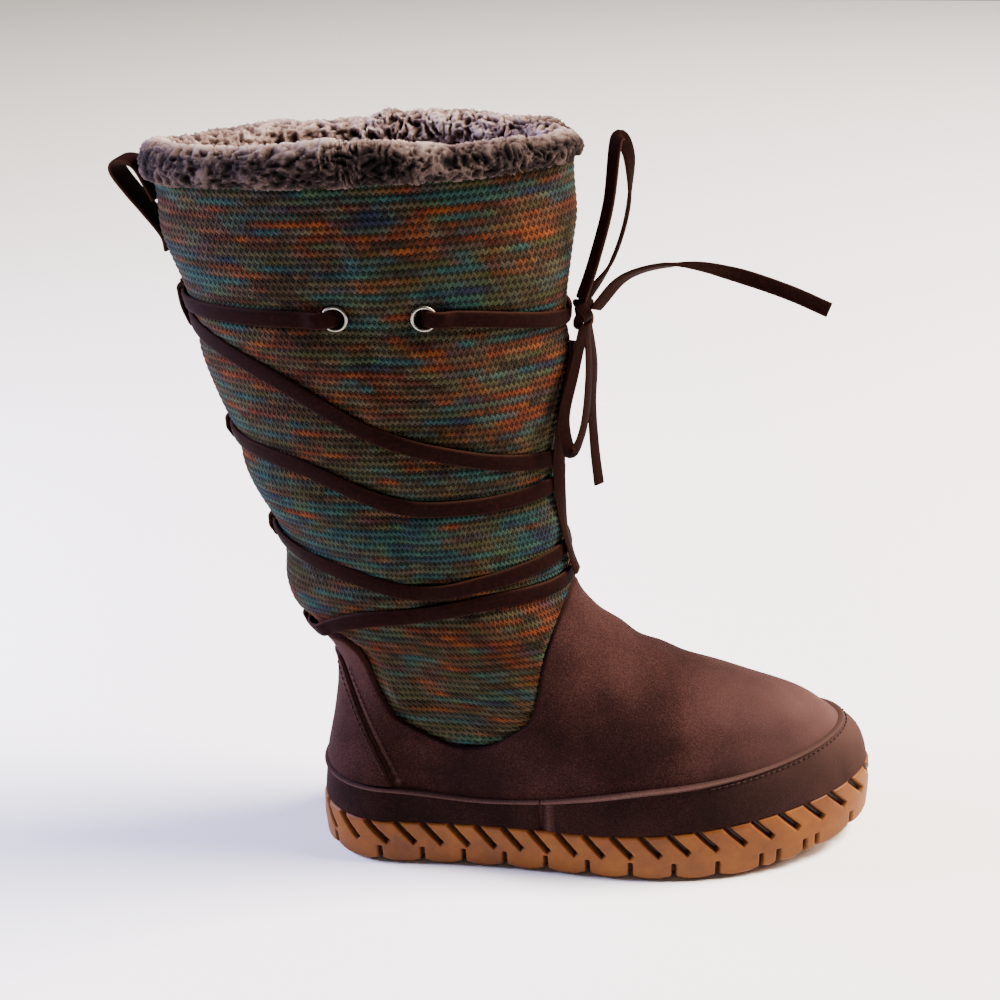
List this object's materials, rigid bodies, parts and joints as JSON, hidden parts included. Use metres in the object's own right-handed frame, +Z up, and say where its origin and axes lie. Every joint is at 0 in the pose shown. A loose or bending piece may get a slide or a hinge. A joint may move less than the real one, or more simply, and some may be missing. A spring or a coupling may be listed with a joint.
{
  "type": "tall boot",
  "caption": "Tall pull-on winter boot for the right foot: knit shaft wrapped by a tied lace, fleece collar, suede foot and notched gum rubber sole",
  "frame": {"origin": "centre of the boot's bounding box, on the ground, without the lace's knot, loops and ends", "axes": "+X towards the toe, +Y towards the inner side of the foot, -Y towards its outer side, +Z up"},
  "size_m": [0.339, 0.0992, 0.3505],
  "materials": {
    "gum_rubber": "matt honey-brown gum rubber",
    "felt": "felt",
    "knit": "space-dyed wool knit",
    "suede": "chocolate suede",
    "fleece": "curly pile fleece",
    "lace_leather": "dark smooth leather",
    "steel": "satin steel"
  },
  "bodies": {
    "root": {"outsole": "gum_rubber", "insole": "felt", "upper": "knit", "suede_foot": "suede", "heel_counter": "suede", "rand_front": "suede", "rand_heel": "suede", "fleece_cuff": "fleece", "pull_tab": "suede", "eyelet_outer_rear": "steel", "eyelet_outer_front": "steel", "eyelet_inner_rear": "steel", "eyelet_inner_front": "steel", "lace_bar_top": "lace_leather", "lace_bar_1": "lace_leather", "lace_bar_2": "lace_leather", "lace_bar_3": "lace_leather", "lace_bar_4": "lace_leather", "lace_tie_outer": "lace_leather", "lace_tie_inner": "lace_leather", "lace_strand_front": "lace_leather", "lace_keeper_1": "lace_leather", "lace_keeper_2": "lace_leather", "lace_keeper_3": "lace_leather", "lace_keeper_4": "lace_leather", "lace_knot": "lace_leather", "bow_loop_up": "lace_leather", "bow_loop_hanging": "lace_leather", "lace_end_forward": "lace_leather", "lace_end_hanging": "lace_leather"}
  },
  "joints": []
}
